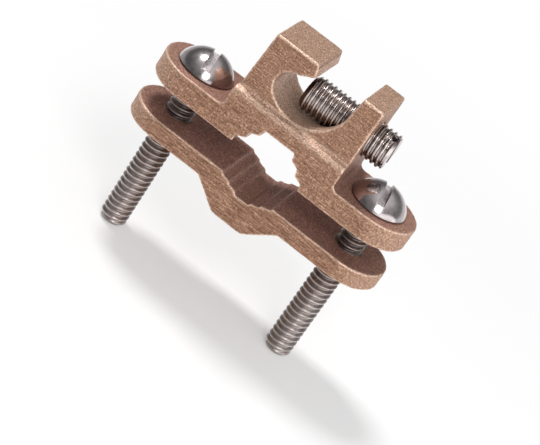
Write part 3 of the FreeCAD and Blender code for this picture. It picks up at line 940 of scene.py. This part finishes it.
@dataclass(frozen=True)
class WearAndHighlight:
    """How much bright metal each kind of rubbing leaves on a casting, with painted highlight on
    faces that face front and up and on the ends, and painted bounce light in the wires' cup.
    """

    upper_fronts_wear_and_highlight: float = 1.2
    tops: float = 0.25
    # Wear and painted bounce light from the wires.
    wires_and_bounce: float = 0.6
    # Painted highlight on the ends' diagonal faces, partly wear.
    ends: float = 0.4
    edges: float = 1.2
    edge_power: float = 1.4
    side_edges: float = 0.4
    front_facing: float = 0.7
    top_facing: float = 0.8
    top_band: float = 0.5 * MM


@dataclass(frozen=True)
class SkinAndShade:
    """How much brown skin and painted shade a casting gets in each kind of place."""

    # Blocked share of the view that gives full skin and painted shade.
    full_shelter: float = 0.2
    upward: float = 0.5
    lug: float = 0.3
    # Painted shade in hollow corners.
    corners: float = 0.5
    front_gain: float = 1.6
    front_loss: float = 0.8


@dataclass
class JawCasting:
    """Bronze casting with soft edges, filled corners and a slightly uneven skin."""

    node: str
    name: str
    hole_radius: float
    calm_radius: float
    saw_share: float
    brightening: WearAndHighlight = WearAndHighlight()
    skin: SkinAndShade = SkinAndShade()
    screw_offset: float = 17.3 * MM
    voxel: float = 0.18 * MM
    smoothing_passes: int = 2
    corner_passes: int = 14
    corner_rings: int = 2
    corner_depth: float = 0.012 * MM
    wave_mm: float = 2.2
    wave_depth: float = 0.03 * MM
    grit_mm: float = 0.5
    grit_depth: float = 0.03 * MM
    shrink: float = 0.025 * MM
    calm_band: float = 0.5 * MM
    full_bulge: float = 0.022 * MM
    skin_level: float = 9.3 * MM
    opening_low: tuple[float, float, float] = (-6.5 * MM, -5.3 * MM, 8.9 * MM)
    opening_high: tuple[float, float, float] = (7.0 * MM, 5.3 * MM, 19.0 * MM)
    end_reach: float = 18.5 * MM
    hole_facing: float = 0.8

    def build(self, bronze: bpy.types.Material, jaws: Surroundings) -> bpy.types.Object:
        """Make the casting's skin from its node.

        Args:
            bronze: Material of the casting.
            jaws: Solids that shelter parts of the casting.

        Returns:
            The casting's object.
        """
        bm = bmesh.new()
        bm.from_mesh(self.fine_skin())
        self.smooth(bm, bm.verts[:], self.smoothing_passes)
        self.fill_corners(bm)
        bm.normal_update()
        self.mark_wear_and_highlight(bm)
        self.mark_faces(bm, jaws)
        self.roughen(bm)
        self.true_holes(bm)
        for face in bm.faces:
            face.smooth = True
        return finished_object(self.name, bm, [bronze])

    def fine_skin(self) -> bpy.types.Mesh:
        """Rebuild the node's closed skin from small even faces.

        Returns:
            The new mesh.
        """
        merged = bmesh.new()
        merged.from_mesh(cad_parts[self.node].data)
        bmesh.ops.remove_doubles(merged, verts=merged.verts, dist=MERGE_DISTANCE)
        rough = finished_object(self.name + "_rough", merged, [])
        remesh = rough.modifiers.new("even_skin", "REMESH")
        remesh.mode = "VOXEL"
        remesh.voxel_size = self.voxel
        remesh.adaptivity = 0.0
        graph = bpy.context.evaluated_depsgraph_get()
        skin = bpy.data.meshes.new_from_object(rough.evaluated_get(graph))
        bpy.data.objects.remove(rough)
        return skin

    def smooth(self, bm: bmesh.types.BMesh, verts: list[bmesh.types.BMVert], passes: int) -> None:
        """Smooth some points of the skin a number of times."""
        for _ in range(passes):
            bmesh.ops.smooth_vert(bm, verts=verts, factor=0.5,
                                  use_axis_x=True, use_axis_y=True, use_axis_z=True)

    def bulge(self, vert: bmesh.types.BMVert) -> float:
        """Give how far a point stands out from the middle of its neighbours."""
        around = [edge.other_vert(vert).co for edge in vert.link_edges]
        return (vert.co - sum(around, Vector()) / len(around)).dot(vert.normal)

    def fill_corners(self, bm: bmesh.types.BMesh) -> None:
        """Fill the hollow corners with the small fillets that a sand casting has.

        Args:
            bm: Smoothed skin.
        """
        bm.normal_update()
        hollow = {vert for vert in bm.verts if self.bulge(vert) < -self.corner_depth}
        for _ in range(self.corner_rings):
            hollow |= {edge.other_vert(vert) for vert in hollow for edge in vert.link_edges}
        self.smooth(bm, sorted(hollow, key=lambda vert: vert.index), self.corner_passes)

    def mark_wear_and_highlight(self, bm: bmesh.types.BMesh) -> None:
        """Store how bright each point is, from nothing to one: worn bare, with painted highlight on
        faces that face front and up, on the ends and in the wires' cup.

        Args:
            bm: Smoothed skin.
        """
        layer = bm.verts.layers.float.new("wear_and_painted_highlight")
        highest = max(vert.co.z for vert in bm.verts)
        top_level = max(self.skin_level, highest - self.brightening.top_band)
        for vert in bm.verts:
            # Wear and painted highlight on faces that face front and up, such as the ledge.
            rubbed_and_highlight = self.brightening.upper_fronts_wear_and_highlight * max(0.0, -vert.normal.y * vert.normal.z)
            if vert.normal.z > self.brightening.top_facing and vert.co.z > top_level:
                rubbed_and_highlight += self.brightening.tops
            # Wear and painted bounce light from the wires in the lug's opening.
            rubbed_and_highlight += self.brightening.wires_and_bounce * self.wire_rub_and_bounce(vert)
            # Painted highlight on the ends' diagonal faces, partly wear.
            if abs(vert.co.x) > self.end_reach:
                rubbed_and_highlight += self.brightening.ends * abs(vert.normal.x * vert.normal.y)
            sharpness = max(0.0, self.bulge(vert) / self.full_bulge) ** self.brightening.edge_power
            fronting = min(1.0, abs(vert.normal.y) / self.brightening.front_facing)
            reached = self.brightening.side_edges + (1 - self.brightening.side_edges) * fronting
            vert[layer] = min(1.0, self.brightening.edges * sharpness * reached + rubbed_and_highlight)

    def mark_faces(self, bm: bmesh.types.BMesh, jaws: Surroundings) -> None:
        """Store how much each point is sawn, and how much brown skin and painted shade it gets.

        Args:
            bm: Smoothed skin.
            jaws: Solids that shelter it.
        """
        sawn = bm.verts.layers.float.new("sawn")
        shade_and_skin = bm.verts.layers.float.new("shade_and_skin")
        for vert in bm.verts:
            # Painted shade where the jaws block the view, as under the upper jaw, and brown skin on
            # faces that face up below the lug.
            kept = jaws.blocked(vert.co, vert.normal) / self.skin.full_shelter
            if vert.co.z < self.skin_level:
                kept += self.skin.upward * max(0.0, vert.normal.z)
                kept = min(1.0, kept)
            else:
                kept = self.skin.lug * min(1.0, kept)
            # Painted shade in hollow corners.
            kept += self.skin.corners * min(1.0, max(0.0, -self.bulge(vert) / self.full_bulge))
            front = min(1.0, max(0.0, -self.skin.front_gain * vert.normal.y))
            bare = (1 - self.skin.front_loss * front) * (1 - self.wire_rub_and_bounce(vert))
            vert[sawn] = self.saw_share * vert.normal.y ** 2
            vert[shade_and_skin] = min(1.0, kept) * bare

    def wire_rub_and_bounce(self, vert: bmesh.types.BMVert) -> float:
        """Give how bright a point of the lug's opening is, worn bare by the wires and with painted
        bounce light from them.

        Args:
            vert: Point of the skin.

        Returns:
            Nothing outside the opening, and up to one where it faces up inside; under the hook it
            stays dark, a painted shadow of the wires.
        """
        places = zip(self.opening_low, vert.co, self.opening_high)
        if not all(low < at < high for low, at, high in places):
            return 0.0
        return min(1.0, max(0.0, 0.5 + vert.normal.z)) * (1 - vert.normal.y ** 2)

    def screw_distance(self, point: Vector) -> float:
        """Give a point's distance from the nearer clamp screw's axis."""
        return math.hypot(abs(point.x) - self.screw_offset, point.y)

    def roughen(self, bm: bmesh.types.BMesh) -> None:
        """Push the skin in and out a little, as sand leaves it, but not at the screws.

        Args:
            bm: Smoothed skin.
        """
        for vert in bm.verts:
            calm = (self.screw_distance(vert.co) - self.calm_radius) / self.calm_band
            share = min(1.0, max(0.0, calm))
            wave = noise.noise(vert.co / (self.wave_mm * MM)) * self.wave_depth
            grit = noise.noise(vert.co / (self.grit_mm * MM)) * self.grit_depth
            vert.co += vert.normal * ((wave + grit - self.shrink) * share)

    def true_holes(self, bm: bmesh.types.BMesh) -> None:
        """Bring the walls of the screw holes back to their drilled radius.

        Args:
            bm: The skin.
        """
        for vert in bm.verts:
            axis = math.copysign(self.screw_offset, vert.co.x)
            out = Vector((vert.co.x - axis, vert.co.y, 0.0))
            at_wall = abs(out.length - self.hole_radius) < self.voxel
            if at_wall and vert.normal.dot(out.normalized()) < -self.hole_facing:
                true = out.normalized() * self.hole_radius
                vert.co.x = axis + true.x
                vert.co.y = true.y


@dataclass(frozen=True)
class Lamp:
    """Soft round lamp that points at the clamp and that the camera doesn't see."""

    name: str
    place: tuple[float, float, float]
    size: tuple[float, float]
    watts: float

    def hang(self) -> None:
        """Hang the lamp in its place."""
        data = bpy.data.lights.new(self.name, "AREA")
        data.shape = "ELLIPSE"
        data.size, data.size_y = self.size
        data.energy = self.watts
        lamp = bpy.data.objects.new(self.name, data)
        lamp.location = self.place
        lamp.visible_camera = False
        lamp.rotation_mode = "QUATERNION"
        lamp.rotation_quaternion = (-Vector(self.place)).to_track_quat("-Z", "Y")
        bpy.context.scene.collection.objects.link(lamp)


@dataclass(frozen=True)
class Studio:
    """White table, soft lamps, a pale room and the camera."""

    camera_place: tuple[float, float, float] = (0.0465, -0.30085, 0.14411)
    camera_right: tuple[float, float, float] = (0.78249, 0.36534, 0.50422)
    camera_forward: tuple[float, float, float] = (-0.12226, 0.88416, -0.45090)
    camera_reach: tuple[float, float] = (0.01, 10.0)
    lens_mm: float = 141.66
    sensor_mm: float = 36.0
    table_half: float = 1.5
    table_gap: float = 0.05 * MM
    paper_colour: str = "#F9F9F9"
    paper_roughness: float = 0.9
    shadow_radius: float = 0.06
    white_radius: float = 0.16
    shadow_whiteness: float = 0.3
    lamps: tuple[Lamp, ...] = (
        Lamp("back_lamp", (-0.244, 0.099, 0.539), (0.135, 0.135), 2.1),
        Lamp("front_lamp", (0.176, -0.394, 0.417), (0.22, 0.22), 0.9),
        Lamp("side_lamp", (0.16, -0.12, 0.04), (0.45, 0.17), 0.2),
    )
    room_levels: tuple[tuple[float, float], ...] = (
        (0.0, 0.56), (0.2, 0.54), (0.32, 0.18), (0.5, 0.14), (0.72, 0.25), (0.93, 0.6))
    right_share: float = 0.35

    def build(self) -> None:
        """Set up the camera, the table, the lamps and the room."""
        self.add_camera()
        self.add_table()
        for lamp in self.lamps:
            lamp.hang()
        self.light_room()

    def add_camera(self) -> None:
        """Add the camera that sees the clamp as the photograph does."""
        data = bpy.data.cameras.new("camera")
        data.lens = self.lens_mm
        data.sensor_width = self.sensor_mm
        data.clip_start, data.clip_end = self.camera_reach
        right = Vector(self.camera_right).normalized()
        forward = Vector(self.camera_forward).normalized()
        up = right.cross(forward).normalized()
        turn = Matrix((right, up, -forward)).transposed().to_4x4()
        camera = bpy.data.objects.new("camera", data)
        camera.matrix_world = Matrix.Translation(self.camera_place) @ turn
        bpy.context.scene.collection.objects.link(camera)
        bpy.context.scene.camera = camera

    def add_table(self) -> None:
        """Add the white table that the screws' ends stand on."""
        bm = bmesh.new()
        bmesh.ops.create_grid(bm, x_segments=1, y_segments=1, size=self.table_half)
        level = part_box("left_clamp_screw")[0].z
        bmesh.ops.translate(bm, verts=bm.verts, vec=(0.0, 0.0, level - self.table_gap))
        finished_object("table", bm, [self.paper()])

    def paper(self) -> bpy.types.Material:
        """Make the table's white paper, which fades to plain white away from the clamp.

        Returns:
            The finished material.
        """
        material = new_material("white_paper_matt")
        tree = material.node_tree
        place = add_node(tree, "ShaderNodeTexCoord").outputs["Object"]
        lit = add_node(tree, "ShaderNodeBsdfPrincipled", {
            "Base Color": linear_colour(self.paper_colour), "Roughness": self.paper_roughness})
        white = add_node(tree, "ShaderNodeEmission", {
            "Color": (1.0, 1.0, 1.0, 1.0), "Strength": 1.0})
        distance = add_node(tree, "ShaderNodeVectorMath", {0: place}, operation="LENGTH")
        fade = add_node(tree, "ShaderNodeMapRange", {
            "Value": distance.outputs["Value"],
            "From Min": self.shadow_radius, "From Max": self.white_radius,
            "To Min": self.shadow_whiteness, "To Max": 1.0}, interpolation_type="SMOOTHSTEP")
        rays = add_node(tree, "ShaderNodeLightPath")
        seen = add_node(tree, "ShaderNodeMath", {
            0: rays.outputs["Is Camera Ray"], 1: rays.outputs["Is Glossy Ray"]}, operation="ADD")
        seen = add_node(tree, "ShaderNodeMath", {
            0: seen.outputs["Value"], 1: rays.outputs["Is Transmission Ray"]},
            operation="ADD", use_clamp=True)
        share = add_node(tree, "ShaderNodeMath", {
            0: seen.outputs["Value"], 1: fade.outputs["Result"]}, operation="MULTIPLY")
        surface = add_node(tree, "ShaderNodeMixShader", {
            0: share.outputs["Value"], 1: lit.outputs["BSDF"], 2: white.outputs["Emission"]})
        add_node(tree, "ShaderNodeOutputMaterial", {"Surface": surface.outputs["Shader"]})
        return material

    def light_room(self) -> None:
        """Light the room: pale along the horizon, dim above it, paler overhead and on the right."""
        world = bpy.data.worlds.new("studio")
        world.use_nodes = True
        tree = world.node_tree
        tree.nodes.clear()
        direction = add_node(tree, "ShaderNodeTexCoord").outputs["Generated"]
        parts = add_node(tree, "ShaderNodeSeparateXYZ", {"Vector": direction})
        ramp = add_node(tree, "ShaderNodeValToRGB", {"Fac": parts.outputs["Z"]})
        elements = ramp.color_ramp.elements
        for height, _ in self.room_levels[len(elements):]:
            elements.new(height)
        for element, (height, level) in zip(elements, self.room_levels):
            element.position = height
            element.color = (level, level, level, 1.0)
        strength = add_node(tree, "ShaderNodeMath", {
            0: parts.outputs["X"], 1: self.right_share, 2: 1.0}, operation="MULTIPLY_ADD")
        light = add_node(tree, "ShaderNodeBackground", {
            "Color": ramp.outputs["Color"], "Strength": strength.outputs["Value"]})
        add_node(tree, "ShaderNodeOutputWorld", {"Surface": light.outputs["Background"]})
        bpy.context.scene.world = world


def dress(piece: bpy.types.Object, node: str, replaces: bool = True) -> None:
    """Let a piece move with its node and log it.

    Args:
        piece: The finished piece.
        node: Node that it rides on.
        replaces: Whether it stands in the node's place.
    """
    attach(piece, node)
    if replaces:
        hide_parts(node)
    piece.data.calc_loop_triangles()
    log.info("%s: %d triangles", piece.name, len(piece.data.loop_triangles))


def main() -> None:
    """Build the clamp's looks on the frame."""
    logging.basicConfig(level=logging.INFO, format="%(message)s")
    bpy.context.scene.view_settings.view_transform = "Standard"
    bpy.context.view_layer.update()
    bronze = CastBronze().make()
    jaws = Surroundings(("upper_jaw", "lower_jaw"))
    castings = [
        JawCasting("upper_jaw", "upper_jaw_casting",
                   hole_radius=2.715 * MM, calm_radius=5.2 * MM, saw_share=0.4),
        JawCasting("lower_jaw", "lower_jaw_casting",
                   hole_radius=2.445 * MM, calm_radius=2.8 * MM, saw_share=0.55),
    ]
    for casting in castings:
        dress(casting.build(bronze, jaws), casting.node)
    finishes = (POLISHED, ROLLED, CUT, SAWN, SHADED)
    polished, rolled, cut, sawn, shaded = (finish.make() for finish in finishes)
    clamp_screws = (ClampScrew("left_clamp_screw", slot_turn=10.0),
                    ClampScrew("right_clamp_screw", slot_turn=12.0))
    for screw in clamp_screws:
        dress(screw.build([polished, rolled, sawn, shaded], jaws), screw.node)
        dress(screw.tapped_thread(bronze), "lower_jaw", replaces=False)
    set_screw = SetScrew()
    dress(set_screw.build([polished, cut, sawn, shaded], jaws), set_screw.node)
    Studio().build()


if __name__ == "__main__":
    main()
